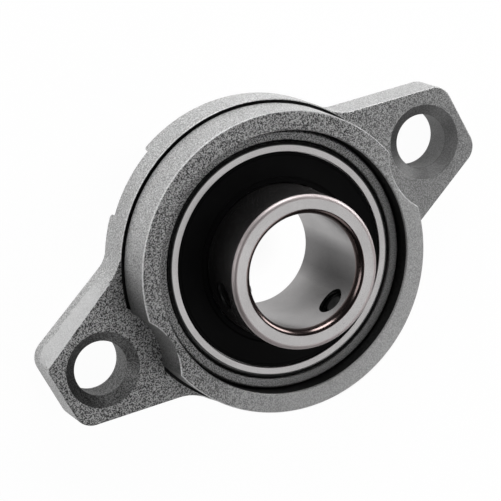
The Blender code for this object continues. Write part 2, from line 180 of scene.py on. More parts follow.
def rounded(corners):
    """A closed outline through (x, y, corner radius) corners, each rounded by an arc."""
    outline = []
    for i, (x, y, radius) in enumerate(corners):
        here = Vector((x, y))
        before = (Vector(corners[i - 1][:2]) - here).normalized()
        after = (Vector(corners[(i + 1) % len(corners)][:2]) - here).normalized()
        half = before.angle(after) / 2
        centre = here + (before + after).normalized() * (radius / math.sin(half))
        first = here + before * (radius / math.tan(half)) - centre
        last = here + after * (radius / math.tan(half)) - centre
        start = math.degrees(math.atan2(first.y, first.x))
        sweep = (math.degrees(math.atan2(last.y, last.x)) - start + 180) % 360 - 180
        outline += arc(centre, radius, start, start + sweep, CORNER_STEPS)
    return outline


def all_four_corners(quarter):
    """A closed outline from the points of its first quadrant, which run from +Y round to +X."""
    left = [(-x, y) for x, y in quarter]
    below_left = [(-x, -y) for x, y in reversed(quarter)]
    below_right = [(x, -y) for x, y in quarter]
    joined = []
    for point in quarter[::-1] + left + below_left + below_right:
        if not joined or math.dist(point, joined[-1]) > 1e-6:
            joined.append(point)
    if math.dist(joined[0], joined[-1]) < 1e-6:
        joined.pop()
    return joined


def flange_outline(inset, blend_radius):
    """Round rim blended into two ears with rounded tips. Insetting it shifts every edge inward alike."""
    rim = RIM_RADIUS - inset
    flank = EAR_FLANK_DISTANCE - inset
    blend_radius += inset
    tip_radius = EAR_TIP_RADIUS - inset
    slope = math.radians(EAR_FLANK_ANGLE)
    far = flank + blend_radius
    run = math.sqrt((rim + blend_radius) ** 2 - far**2)
    blend = (
        far * math.sin(slope) + run * math.cos(slope),
        far * math.cos(slope) - run * math.sin(slope),
    )
    toward_rim = math.degrees(math.atan2(blend[1], blend[0]))
    tip_x = EAR_REACH - EAR_TIP_RADIUS
    tip_y = (EAR_FLANK_DISTANCE - EAR_TIP_RADIUS - tip_x * math.sin(slope)) / math.cos(slope)
    quarter = arc((0, 0), rim, 90, toward_rim, 32)
    quarter += arc(blend, blend_radius, 180 + toward_rim, 270 - EAR_FLANK_ANGLE, 12)[1:]
    quarter += arc((tip_x, tip_y), tip_radius, 90 - EAR_FLANK_ANGLE, 0, 12)
    return all_four_corners(quarter)


def boss_outline(radius, clearance, corner):
    """Circle with a scallop round each bolt, and a small radius where the two meet."""
    bolt_x = BOLT_SPACING / 2
    reach, gap = radius - corner, clearance + corner
    corner_x = (reach**2 - gap**2 + bolt_x**2) / (2 * bolt_x)
    corner_y = math.sqrt(reach**2 - corner_x**2)
    from_middle = math.degrees(math.atan2(corner_y, corner_x))
    from_bolt = math.degrees(math.atan2(corner_y, corner_x - bolt_x))
    quarter = arc((0, 0), radius, 90, from_middle, 40)
    quarter += arc((corner_x, corner_y), corner, from_middle, from_bolt - 180, 6)[1:]
    quarter += arc((bolt_x, 0), clearance, from_bolt, 180, 16)[1:]
    return all_four_corners(quarter)


# ---------------------------------------------------------------- meshes


def new_object(name, bm):
    bmesh.ops.recalc_face_normals(bm, faces=bm.faces)
    mesh = bpy.data.meshes.new(name)
    bm.to_mesh(mesh)
    bm.free()
    obj = bpy.data.objects.new(name, mesh)
    bpy.context.scene.collection.objects.link(obj)
    return obj


def turned(name, profile, steps=RING_STEPS):
    """Turn a closed outline of (radius, height) points about Z. Points at radius 0 meet on the axis."""
    bm = bmesh.new()
    rings = []
    for radius, height in profile:
        if radius == 0:
            rings.append([bm.verts.new((0, 0, height * MM))] * steps)
        else:
            circle = arc((0, 0), radius * MM, 0, 360, steps)[:-1]
            rings.append([bm.verts.new((x, y, height * MM)) for x, y in circle])
    for ring, following in zip(rings, rings[1:] + rings[:1]):
        for i in range(steps):
            j = (i + 1) % steps
            corners = list(dict.fromkeys((ring[i], ring[j], following[j], following[i])))
            if len(corners) > 2:
                bm.faces.new(corners)
    return new_object(name, bm)


def lofted(name, layers):
    """Join outlines of equal point count, given as (points, height), and close both ends."""
    bm = bmesh.new()
    rings = [[bm.verts.new((x * MM, y * MM, height * MM)) for x, y in points] for points, height in layers]
    for low, high in zip(rings, rings[1:]):
        for i, vert in enumerate(low):
            j = (i + 1) % len(low)
            bm.faces.new((vert, low[j], high[j], high[i]))
    bm.faces.new(rings[0])
    bm.faces.new(rings[-1])
    return new_object(name, bm)


def threaded_rod(name, radius, low, high, depth=THREAD_DEPTH):
    """A rod with a helical thread cut into it, standing along Z."""
    steps_round = 48
    steps_up = int((high - low) / THREAD_PITCH * 8)
    layers = []
    for level in range(steps_up + 1):
        height = low + (high - low) * level / steps_up
        points = []
        for i in range(steps_round):
            turn = i / steps_round
            phase = (height / THREAD_PITCH - turn) % 1
            groove = depth * abs(2 * phase - 1)
            angle = math.tau * turn
            points.append(((radius - groove) * math.cos(angle), (radius - groove) * math.sin(angle)))
        layers.append((points, height))
    return lofted(name, layers)


def place(obj, matrix):
    obj.matrix_world = matrix
    return obj


def combine(obj, other, operation):
    """Apply a boolean at once and remove the other solid."""
    modifier = obj.modifiers.new(other.name, "BOOLEAN")
    modifier.operation = operation
    modifier.solver = "MANIFOLD"
    modifier.object = other
    bpy.context.view_layer.update()
    graph = bpy.context.evaluated_depsgraph_get()
    mesh = bpy.data.meshes.new_from_object(obj.evaluated_get(graph))
    obj.modifiers.clear()
    obj.data = mesh
    bpy.data.objects.remove(other)


def merge_flat_faces(obj):
    """Join the slivers that booleans leave in flat faces."""
    bm = bmesh.new()
    bm.from_mesh(obj.data)
    bmesh.ops.remove_doubles(bm, verts=bm.verts, dist=1e-7)
    bmesh.ops.dissolve_limit(bm, angle_limit=math.radians(0.3), verts=bm.verts, edges=bm.edges)
    bmesh.ops.triangulate(bm, faces=[face for face in bm.faces if len(face.verts) > 4])
    bm.to_mesh(obj.data)
    bm.free()


def smooth(obj, angle=30):
    """Round surfaces smooth, edges sharper than the angle crisp, flat faces truly flat."""
    obj.data.shade_smooth()
    obj.data.set_sharp_from_angle(angle=math.radians(angle))
    weighted = obj.modifiers.new("weighted_normals", "WEIGHTED_NORMAL")
    weighted.keep_sharp = True


def around(angle, radius=0.0, height=0.0):
    """A place that far from the axis, turned so that its X points outward."""
    turn = Matrix.Rotation(math.radians(angle), 4, "Z")
    return turn @ Matrix.Translation((radius * MM, 0, height * MM))


def show(obj, node, body, slot, *materials):
    """Finish a piece: it stands for its CAD node, rides on its body and takes these materials."""
    obj.name = node + "_look"
    obj.data.materials.clear()
    for material in materials:
        obj.data.materials.append(material)
    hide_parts(node)
    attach(obj, body)


# ---------------------------------------------------------------- housing


def edge_layers(outline_at, low, high, low_edge, high_edge):
    """Layers of a loft whose two ends are rounded. outline_at(share, inset) gives an outline."""
    layers = []
    for step in range(CORNER_STEPS):
        angle = math.radians(90 * step / CORNER_STEPS)
        if low_edge:
            inset = low_edge * (1 - math.sin(angle))
            layers.append((outline_at(0, inset), low + low_edge * (1 - math.cos(angle))))
    layers.append((outline_at(0, 0), low + low_edge))
    for step in range(CORNER_STEPS + 1):
        angle = math.radians(90 * step / CORNER_STEPS)
        inset = high_edge * (1 - math.cos(angle))
        layers.append((outline_at(1, inset), high - high_edge * (1 - math.sin(angle))))
    return layers


def flange_at(share, inset):
    blend = BACK_BLEND_RADIUS + (FRONT_BLEND_RADIUS - BACK_BLEND_RADIUS) * share
    return flange_outline(FLANGE_DRAFT * share + inset, blend)


def boss_at(share, inset):
    radius = BOSS_BASE_RADIUS + (BOSS_TOP_RADIUS - BOSS_BASE_RADIUS) * share
    clearance = BOLT_CLEARANCE_BASE + (BOLT_CLEARANCE_TOP - BOLT_CLEARANCE_BASE) * share
    return boss_outline(radius - inset, clearance + inset, BOSS_CORNER_RADIUS - inset)


def seat_cutter():
    """Everything inside the housing: a spherical seat, open behind, with a rounded mouth in front."""
    back = -math.degrees(math.asin(INSERT_CENTRE / SEAT_RADIUS))
    mouth = math.degrees(math.acos(SEAT_MOUTH_RADIUS / SEAT_RADIUS))
    curve = arc((0, INSERT_CENTRE), SEAT_RADIUS, back, mouth, 24)
    lip = arc(
        (SEAT_MOUTH_RADIUS + EDGE_RADIUS, HOUSING_HEIGHT - EDGE_RADIUS), EDGE_RADIUS, 180, 90, CORNER_STEPS
    )
    top = HOUSING_HEIGHT + 1
    profile = [(0, -1), (curve[0][0], -1)] + curve + lip + [(SEAT_MOUTH_RADIUS + EDGE_RADIUS, top), (0, top)]
    return turned("seat", profile)


def bolt_hole_cutter(x):
    """A through hole with a countersink in front and a small chamfer behind."""
    top = FLANGE_THICKNESS
    lip = EDGE_RADIUS / 2
    profile = [
        (0, -1),
        (BOLT_HOLE_BACK_RADIUS + 0.3, -1),
        (BOLT_HOLE_BACK_RADIUS + 0.3, 0),
        (BOLT_HOLE_BACK_RADIUS, 0.3),
        (BOLT_HOLE_RADIUS, top - COUNTERSINK_DEPTH - 0.15),
        (BOLT_HOLE_RADIUS + 0.06, top - COUNTERSINK_DEPTH - 0.02),
        (COUNTERSINK_RADIUS - lip, top - lip),
        (COUNTERSINK_RADIUS, top - lip / 4),
        (COUNTERSINK_RADIUS + lip, top),
        (COUNTERSINK_RADIUS + lip, top + 1),
        (0, top + 1),
    ]
    return place(turned("bolt_hole", profile, HOLE_STEPS), Matrix.Translation((x * MM, 0, 0)))


def groove_cutter():
    """The ring groove round the foot of the boss, which leaves out the pads round the bolts."""
    profile = rounded(
        [
            (GROOVE_INNER_RADIUS, GROOVE_BOTTOM, 0.2),
            (GROOVE_OUTER_RADIUS, GROOVE_BOTTOM, 0.2),
            (GROOVE_OUTER_RADIUS, GROOVE_TOP, 0.1),
            (GROOVE_INNER_RADIUS, GROOVE_TOP, 0.1),
        ]
    )
    groove = turned("groove", profile)
    for side in (-1, 1):
        pad = [(0, GROOVE_BOTTOM - 1), (GROOVE_STOP_RADIUS, GROOVE_BOTTOM - 1)]
        pad += [(GROOVE_STOP_RADIUS, GROOVE_TOP + 1), (0, GROOVE_TOP + 1)]
        centre = Matrix.Translation((side * BOLT_SPACING / 2 * MM, 0, 0))
        combine(groove, place(turned("pad", pad, HOLE_STEPS), centre), "DIFFERENCE")
    return groove


def trim_turn():
    slope = Matrix.Rotation(math.radians(TRIM_SLOPE), 4, "Z")
    return slope @ Matrix.Rotation(math.radians(TRIM_TILT), 4, "X")


def trim_cutter():
    """A sloping block whose lower face is slightly wavy, as hand trimming leaves it."""
    outline = []
    for step in range(97):
        x = TRIM_LENGTH * step / 96
        outline.append((x, TRIM_WAVE * (math.sin(0.9 * x) + 0.5 * math.sin(2.3 * x))))
    outline += [(TRIM_LENGTH, TRIM_BLOCK), (0, TRIM_BLOCK)]
    block = lofted("ear_trim", [(outline, -TRIM_BLOCK), (outline, TRIM_BLOCK)])
    start = Matrix.Translation((TRIM_START[0] * MM, TRIM_START[1] * MM, FLANGE_THICKNESS * MM))
    return place(block, start @ trim_turn())


def crossing(reach, width):
    """A long rectangle across the middle of the back."""
    return [(-reach, -width / 2), (reach, -width / 2), (reach, width / 2), (-reach, width / 2)]


def slot_cutter():
    outline = crossing(SEAT_RADIUS, SLOT_WIDTH)
    return place(lofted("slots", [(outline, -1), (outline, INSERT_CENTRE)]), around(SLOT_ANGLE))


def relief_cutter():
    """A shallow cut right across the back, whose two long edges are rounded over."""
    reach = RIM_RADIUS + 3
    layers = [(crossing(reach, RELIEF_WIDTH + 2 * RELIEF_CORNER), -1)]
    for step in range(CORNER_STEPS + 1):
        angle = math.radians(90 * step / CORNER_STEPS)
        flare = RELIEF_CORNER * (1 - math.sin(angle))
        layers.append((crossing(reach, RELIEF_WIDTH + 2 * flare), RELIEF_CORNER * (1 - math.cos(angle))))
    layers.append((crossing(reach, RELIEF_WIDTH), RELIEF_DEPTH))
    return place(lofted("relief", layers), around(SLOT_ANGLE))


def build_housing(*materials):
    housing = lofted("housing_solid", edge_layers(flange_at, 0, FLANGE_THICKNESS, EDGE_RADIUS, EDGE_RADIUS))
    boss = lofted("boss", edge_layers(boss_at, FLANGE_THICKNESS / 2, HOUSING_HEIGHT, 0, EDGE_RADIUS))
    combine(housing, boss, "UNION")
    combine(housing, groove_cutter(), "DIFFERENCE")
    combine(housing, seat_cutter(), "DIFFERENCE")
    for side in (-1, 1):
        combine(housing, bolt_hole_cutter(side * BOLT_SPACING / 2), "DIFFERENCE")
    combine(housing, slot_cutter(), "DIFFERENCE")
    combine(housing, relief_cutter(), "DIFFERENCE")
    combine(housing, trim_cutter(), "DIFFERENCE")
    merge_flat_faces(housing)
    show(housing, "housing", "housing", "cast_zinc", *materials)
    for face in housing.data.polygons:
        face.material_index = housing_material(face)
    smooth(housing)


def housing_material(face):
    """0 boss face, 1 flange walls, 2 painted shade in the seat and groove, 3 countersinks, 4 left ear's
    upper flank,
    5 boss walls, 6 painted highlight on the edges of the boss and rim, 7 bolt hole walls, 8 flange and back
    faces."""
    centre = face.center / MM
    from_axis = math.hypot(centre.x, centre.y)
    from_bolt = math.hypot(abs(centre.x) - BOLT_SPACING / 2, centre.y)
    steepness = abs(face.normal.z)
    # Painted shade: the seat and the groove take the near-black material.
    if from_axis < SEAT_RADIUS + 0.05 and centre.z < HOUSING_HEIGHT - EDGE_RADIUS:
        return 2
    in_groove = GROOVE_BOTTOM - 0.01 < centre.z < FLANGE_THICKNESS - 0.02
    if from_axis < GROOVE_OUTER_RADIUS + 0.01 and in_groove:
        return 2
    # 6: the painted highlight on the rim's and the boss's rounded edges.
    on_rim_edge = GROOVE_OUTER_RADIUS < from_axis < RIM_RADIUS and centre.z > GROOVE_TOP - 0.5
    if on_rim_edge and 0.2 < steepness < 0.97:
        return 6
    if from_bolt < COUNTERSINK_RADIUS and steepness < 0.95:
        return 3 if steepness > 0.3 else 7
    if centre.z > HOUSING_HEIGHT - EDGE_RADIUS and from_axis > SEAT_RADIUS + 1 and steepness < 0.97:
        return 6
    if steepness > 0.6:
        return 0 if centre.z > FLANGE_THICKNESS + 1 else 8
    if centre.z > FLANGE_THICKNESS:
        return 5
    return 4 if centre.x < 2 - RIM_RADIUS and face.normal.y > 0.5 else 1


# ---------------------------------------------------------------- bearing


def both_faces(front):
    """Complete the front half of a ring's outline with its mirror image behind the insert's centre."""
    return front + [(radius, 2 * INSERT_CENTRE - height) for radius, height in reversed(front)]


def build_carrier(material):
    face = INSERT_CENTRE + HALF_WIDTH
    edge = HALF_WIDTH - CARRIER_ROUNDING_DROP
    start = math.degrees(math.asin(edge / SPHERE_RADIUS))
    front = [(CARRIER_BORE_RADIUS, face - 0.15), (CARRIER_BORE_RADIUS + 0.15, face)]
    front.append((CARRIER_FACE_RADIUS, face))
    outer = arc((0, INSERT_CENTRE), SPHERE_RADIUS, start, start / 40, 20)
    span = (outer[0][0] - CARRIER_FACE_RADIUS, face - outer[0][1])
    for step in range(1, 6):
        angle = math.radians(90 * step / 6)
        drop = span[1] * (1 - math.cos(angle))
        front.append((CARRIER_FACE_RADIUS + span[0] * math.sin(angle), face - drop))
    ring = turned("carrier", both_faces(front + outer))
    show(ring, "carrier_ring", "insert", "carrier_zinc", material)
    smooth(ring)


def build_outer_ring(*materials):
    """The ring's faces take the first material and its rounded outer corners the second, a dark steel that
    paints the shade in the gap round the ring.
    """
    face = INSERT_CENTRE + HALF_WIDTH
    recess = face - SEAL_RECESS_DEPTH
    race_edge = math.degrees(math.acos((OUTER_LAND_RADIUS - PITCH_RADIUS) / RACE_RADIUS))
    race = arc((PITCH_RADIUS, INSERT_CENTRE), RACE_RADIUS, race_edge, race_edge / 40, 16)
    front = race[::-1]
    front += [(OUTER_LAND_RADIUS, recess), (SEAL_RECESS_RADIUS, recess), (SEAL_RECESS_RADIUS, face - 0.08)]
    front += [(SEAL_RECESS_RADIUS + 0.08, face)]
    front += arc((BEARING_RADIUS - RING_CORNER, face - RING_CORNER), RING_CORNER, 90, 0, 8)
    ring = turned("outer", both_faces(front))
    show(ring, "outer_ring", "insert", "bearing_steel", *materials)
    for polygon in ring.data.polygons:
        polygon.material_index = int(polygon.center.to_2d().length > (BEARING_RADIUS - RING_CORNER) * MM)
    smooth(ring)


def build_seal(name, flip, material):
    """Rubber disc, stepped down at both edges, with a bead in the outer ring's recess and a thin lip."""
    front = HALF_WIDTH - SEAL_SET_BACK
    back = front - SEAL_EDGE_DEPTH
    web = front - SEAL_WEB
    profile = rounded(
        [
            (SEAL_INNER_RADIUS, front - 0.25, 0.1),
            (SEAL_INNER_RADIUS, back, 0.1),
            (SEAL_INNER_RADIUS + SEAL_LIP_WIDTH, back, 0.1),
            (SEAL_INNER_RADIUS + SEAL_LIP_WIDTH, web, 0.05),
            (SEAL_OUTER_RADIUS - SEAL_BEAD_WIDTH, web, 0.05),
            (SEAL_OUTER_RADIUS - SEAL_BEAD_WIDTH, back, 0.1),
            (SEAL_OUTER_RADIUS, back, 0.1),
            (SEAL_OUTER_RADIUS, front - 0.1, 0.08),
            (SEAL_OUTER_RADIUS - 0.4, front - 0.1, 0.05),
            (SEAL_OUTER_RADIUS - 0.6, front, 0.1),
            (SEAL_INNER_RADIUS + 1.1, front, 0.1),
            (SEAL_INNER_RADIUS + 0.8, front - 0.25, 0.1),
        ]
    )
    seal = turned(name + "_disc", profile)
    turn = Matrix.Rotation(math.pi if flip else 0, 4, "X")
    place(seal, Matrix.Translation((0, 0, INSERT_CENTRE * MM)) @ turn)
    show(seal, name, "insert", "seal_rubber", material)
    smooth(seal)


def inner_ring_profile():
    race_edge = math.degrees(math.acos((PITCH_RADIUS - INNER_RING_RADIUS) / RACE_RADIUS))
    front, back = INNER_RING_FRONT, INNER_RING_BACK
    corner = RING_CORNER
    profile = arc((BORE_RADIUS + corner, back + corner), corner, 180, 270, 6)
    profile += arc((INNER_RING_RADIUS - corner, back + corner), corner, -90, 0, 8)
    profile += arc((PITCH_RADIUS, INSERT_CENTRE), RACE_RADIUS, 180 + race_edge, 180 - race_edge, 32)
    profile += arc((INNER_RING_RADIUS - corner, front - corner), corner, 0, 90, 10)
    for step in range(13):
        angle = math.radians(90 * step / 12)
        radius = BORE_MOUTH_RADIUS - (BORE_MOUTH_RADIUS - BORE_RADIUS) * math.sin(angle)
        profile.append((radius, front - BORE_MOUTH_DEPTH * (1 - math.cos(angle))))
    return profile


def screw_place(direction, distance):
    """A place on a set screw's axis, turned so that its Z points outward."""
    return around(direction, distance, SCREW_HEIGHT) @ Matrix.Rotation(math.radians(90), 4, "Y")


def build_inner_ring(*materials):
    ring = turned("inner", inner_ring_profile())
    tap_radius = SCREW_HOLE_RADIUS + TAP_CLEARANCE
    for direction, _ in SCREWS.values():
        tap = threaded_rod("tap", tap_radius, BORE_RADIUS - 3, INNER_RING_RADIUS + 3, TAP_DEPTH)
        combine(ring, place(tap, screw_place(direction, 0)), "DIFFERENCE")
    show(ring, "inner_ring", "inner_ring", "bearing_steel", *materials)
    for face in ring.data.polygons:
        face.material_index = inner_ring_material(face)
    smooth(ring)


def inner_ring_material(face):
    """0 turned faces, 1 tapped holes, 2 ground outside, 3 bore mouth, 4 bore, 5 outer corners, lighter as a
    painted highlight.
    """
    centre = face.center / MM
    radius = math.hypot(centre.x, centre.y)
    outward = Vector((centre.x, centre.y, 0)).normalized().dot(face.normal)
    if radius > INNER_RING_RADIUS - 0.03:
        return 2
    for direction, _ in SCREWS.values():
        across = around(-direction) @ centre
        if across.x > 0 and math.hypot(across.y, across.z - SCREW_HEIGHT) < SCREW_HOLE_RADIUS + 0.16:
            return 1
    if radius < BORE_MOUTH_RADIUS - 0.15 and centre.z > INNER_RING_FRONT - BORE_MOUTH_DEPTH and outward < 0:
        return 3
    if radius < BORE_RADIUS + 0.05:
        return 4
    return 5 if radius > INNER_RING_RADIUS - RING_CORNER + 0.02 else 0


def build_set_screws(material):
    """Threaded socket screws with a cup point, whose origin is the middle of the tip."""
    corner_radius = SOCKET_ACROSS_FLATS / 2 / math.cos(math.radians(30))
    hexagon = arc((0, 0), corner_radius, 0, 360, 6)[:-1]
    for name, (direction, distance) in SCREWS.items():
        screw = threaded_rod(name + "_body", SCREW_RADIUS, 0, SCREW_LENGTH)
        ends = [
            (0, CUP_DEPTH),
            (CUP_RADIUS, 0.0),
            (CUP_RADIUS + 0.25, 0.0),
            (SCREW_RADIUS + 0.2, 1.0),
            (SCREW_RADIUS + 0.2, SCREW_LENGTH - 0.5),
            (SCREW_RADIUS - 0.3, SCREW_LENGTH),
            (0, SCREW_LENGTH),
        ]
        combine(screw, turned("ends", ends, 48), "INTERSECT")
        socket = lofted("socket", [(hexagon, SCREW_LENGTH - SOCKET_DEPTH), (hexagon, SCREW_LENGTH + 1)])
        combine(screw, socket, "DIFFERENCE")
        place(screw, screw_place(direction, distance))
        show(screw, name, name, "black_steel", material)
        smooth(screw)


def build_balls(material):
    for i in range(BALL_COUNT):
        bm = bmesh.new()
        bmesh.ops.create_uvsphere(bm, u_segments=48, v_segments=24, radius=BALL_RADIUS * MM)
        ball = new_object(f"ball_{i + 1}_ball", bm)
        angle = FIRST_BALL_ANGLE + 360 * i / BALL_COUNT
        place(ball, around(angle, PITCH_RADIUS, INSERT_CENTRE))
        show(ball, f"ball_{i + 1}", f"ball_{i + 1}", "ball_steel", material)
        smooth(ball)


# ---------------------------------------------------------------- materials


class Nodes:
    """A new material and short ways to add nodes to it."""

    def __init__(self, name):
        self.material = bpy.data.materials.new(name)
        self.material.use_nodes = True
        self.tree = self.material.node_tree
        self.shader = self.tree.nodes["Principled BSDF"]
        self.place = self.add("ShaderNodeTexCoord").outputs["Object"]

    def add(self, kind, **settings):
        node = self.tree.nodes.new(kind)
        for key, value in settings.items():
            setattr(node, key, value)
        return node

    def link(self, source, target):
        self.tree.links.new(source, target)

    def noise(self, size_mm, detail=2.0, roughness=0.5):
        """Noise from 0 to 1 whose features are about that many millimetres across."""
        node = self.add("ShaderNodeTexNoise")
        node.inputs["Scale"].default_value = 1 / (size_mm * MM)
        node.inputs["Detail"].default_value = detail
        node.inputs["Roughness"].default_value = roughness
        self.link(self.place, node.inputs["Vector"])
        return node.outputs["Fac"]

    def ramp(self, value, *stops):
        """Map a value to colours given as (position, grey or colour)."""
        node = self.add("ShaderNodeValToRGB")
        elements = node.color_ramp.elements
        while len(elements) < len(stops):
            elements.new(1.0)
        for element, (position, colour) in zip(elements, stops):
            element.position = position
            grey = (colour,) * 3 if isinstance(colour, (int, float)) else colour
            element.color = (*grey, 1.0)
        self.link(value, node.inputs["Fac"])
        return node.outputs["Color"]

    def mix(self, share, first, second, blend="MIX"):
        node = self.add("ShaderNodeMix", data_type="RGBA", blend_type=blend)
        for socket, value in ((node.inputs[0], share), (node.inputs[6], first), (node.inputs[7], second)):
            if isinstance(value, bpy.types.NodeSocket):
                self.link(value, socket)
            elif isinstance(value, (int, float)):
                socket.default_value = value
            else:
                socket.default_value = (*value, 1.0)
        return node.outputs[2]

    def range(self, value, low, high, from_max=1.0, from_min=0.0):
        """Spread a value between low and high."""
        node = self.add("ShaderNodeMapRange")
        node.inputs["From Min"].default_value = from_min
        node.inputs["From Max"].default_value = from_max
        node.inputs["To Min"].default_value = low
        node.inputs["To Max"].default_value = high
        self.link(value, node.inputs["Value"])
        return node.outputs["Result"]

    def along(self, direction, start, end):
        """A value set by how far along a direction, given as (millimetres, value) at both ends."""
        node = self.add("ShaderNodeVectorMath", operation="DOT_PRODUCT")
        node.inputs[1].default_value = direction
        self.link(self.place, node.inputs[0])
        return self.range(node.outputs["Value"], start[1], end[1], end[0] * MM, start[0] * MM)

    def bump(self, height, distance_mm, normal=None):
        node = self.add("ShaderNodeBump")
        node.inputs["Strength"].default_value = 1.0
        node.inputs["Distance"].default_value = distance_mm * MM
        self.link(height, node.inputs["Height"])
        if normal:
            self.link(normal, node.inputs["Normal"])
        self.link(node.outputs["Normal"], self.shader.inputs["Normal"])
        return node.outputs["Normal"]

    def mix_shaders(self, share, first, second):
        node = self.add("ShaderNodeMixShader")
        if isinstance(share, bpy.types.NodeSocket):
            self.link(share, node.inputs[0])
        else:
            node.inputs[0].default_value = share
        self.link(first, node.inputs[1])
        self.link(second, node.inputs[2])
        return node.outputs[0]

    def finish(self, colour, roughness, metallic):
        self.link(colour, self.shader.inputs["Base Color"])
        self.link(roughness, self.shader.inputs["Roughness"])
        self.shader.inputs["Metallic"].default_value = metallic
        return self.material


def cast_material(name, dark, light, even, bump_mm, metallic=0.7, painted_shade_stops=(), trimmed=False):
    """Shot-blasted die casting: salt-and-pepper grain that painted light fades to an even grey on one side
    of the part.
    Painted shade stops, given as (x, share), darken it along X. A trimmed flank has a lighter, ragged front
    band."""
    nodes = Nodes(name)
    grain = nodes.noise(0.24, 2.5, 0.6)
    speckle = nodes.ramp(grain, (0.41, dark), (0.60, light))
    # Painted light: the grain's contrast fades out to an even grey toward one side of the part.
    painted_light_evenness = nodes.along((0.4, -0.92, 0.0), (-4, 0.05), (16, 0.7))
    colour = nodes.mix(painted_light_evenness, speckle, (even,) * 3)
    patches = nodes.ramp(nodes.noise(9.0, 3.0), (0.3, 0.82), (0.7, 1.0))
    colour = nodes.mix(0.5, colour, patches, "MULTIPLY")
    # Painted shade along X, from the stops given.
    if painted_shade_stops:
        across = nodes.along((1, 0, 0), (-EAR_REACH, 0.0), (EAR_REACH, 1.0))
        stops = [(0.5 + x / (2 * EAR_REACH), share) for x, share in painted_shade_stops]
        colour = nodes.mix(1.0, colour, nodes.ramp(across, *stops), "MULTIPLY")
    if trimmed:
        ragged = nodes.add("ShaderNodeMath", operation="MULTIPLY_ADD")
        nodes.link(nodes.noise(1.6, 2.0), ragged.inputs[0])
        ragged.inputs[1].default_value = 0.2
        nodes.link(nodes.along((0, 0, 1), (0, 0.0), (10, 1.0)), ragged.inputs[2])
        band = nodes.ramp(ragged.outputs[0], (0.36, 0.0), (0.40, 1.0))
        band = nodes.mix(1.0, band, nodes.along((1, 0, 0), (-30, 1.0), (-25.5, 0.0)), "MULTIPLY")
        colour = nodes.mix(band, colour, nodes.ramp(grain, (0.35, 0.58), (0.65, 0.76)))
    nodes.bump(grain, bump_mm)
    return nodes.finish(colour, nodes.range(grain, 0.44, 0.56), metallic)


def steel_material(name, colour, roughness, bump_mm=0.002, turned_about_z=False, painted_reflection_at=None):
    """Ground steel with slight staining. Marks left by turning stretch its highlights across them.
    A painted dark reflection, a streak along Z at the given angle, darkens it."""
    nodes = Nodes(name)
    if turned_about_z:
        tangent = nodes.add("ShaderNodeTangent", direction_type="RADIAL", axis="Z")
        nodes.link(tangent.outputs[0], nodes.shader.inputs["Tangent"])
        nodes.shader.inputs["Anisotropic"].default_value = 0.7
        nodes.shader.inputs["Anisotropic Rotation"].default_value = 0.25
    stain = nodes.noise(5.0, 4.0)
    marks = nodes.noise(0.12, 2.0)
    darker = tuple(channel * 0.9 for channel in colour)
    tone = nodes.ramp(stain, (0.35, darker), (0.65, colour))
    # Painted dark reflection: a band along Z on one side of the bore.
    if painted_reflection_at is not None:
        turn = nodes.add("ShaderNodeVectorRotate", rotation_type="Z_AXIS")
        turn.inputs["Angle"].default_value = math.radians(-painted_reflection_at)
        nodes.link(nodes.place, turn.inputs["Vector"])
        aside = nodes.add("ShaderNodeSeparateXYZ")
        nodes.link(turn.outputs[0], aside.inputs[0])
        facing = nodes.range(aside.outputs["X"], 0.0, 1.0, BORE_RADIUS * MM)
        tone = nodes.mix(1.0, tone, nodes.ramp(facing, (0.88, 1.0), (0.98, 0.42)), "MULTIPLY")
    nodes.bump(marks, bump_mm)
    return nodes.finish(tone, nodes.range(marks, roughness - 0.04, roughness + 0.05), 1.0)


def rubber_material():
    nodes = Nodes("seal_rubber_look")
    texture = nodes.noise(0.25, 3.0)
    tone = nodes.ramp(nodes.noise(6.0), (0.3, (0.0022, 0.0022, 0.0024)), (0.7, (0.0035, 0.0035, 0.0037)))
    nodes.bump(texture, 0.004)
    nodes.shader.inputs["Specular IOR Level"].default_value = 0.05
    return nodes.finish(tone, nodes.range(texture, 0.5, 0.6), 0.0)


def dark_material(name, low, high, roughness, metallic, specular=0.25):
    """Black oxide, or the painted shade inside the seat and the groove."""
    nodes = Nodes(name)
    texture = nodes.noise(0.5, 3.0)
    tone = nodes.ramp(texture, (0.35, low), (0.65, high))
    nodes.bump(texture, 0.01)
    nodes.shader.inputs["Specular IOR Level"].default_value = specular
    return nodes.finish(tone, nodes.range(texture, roughness - 0.05, roughness + 0.05), metallic)


# ---------------------------------------------------------------- studio


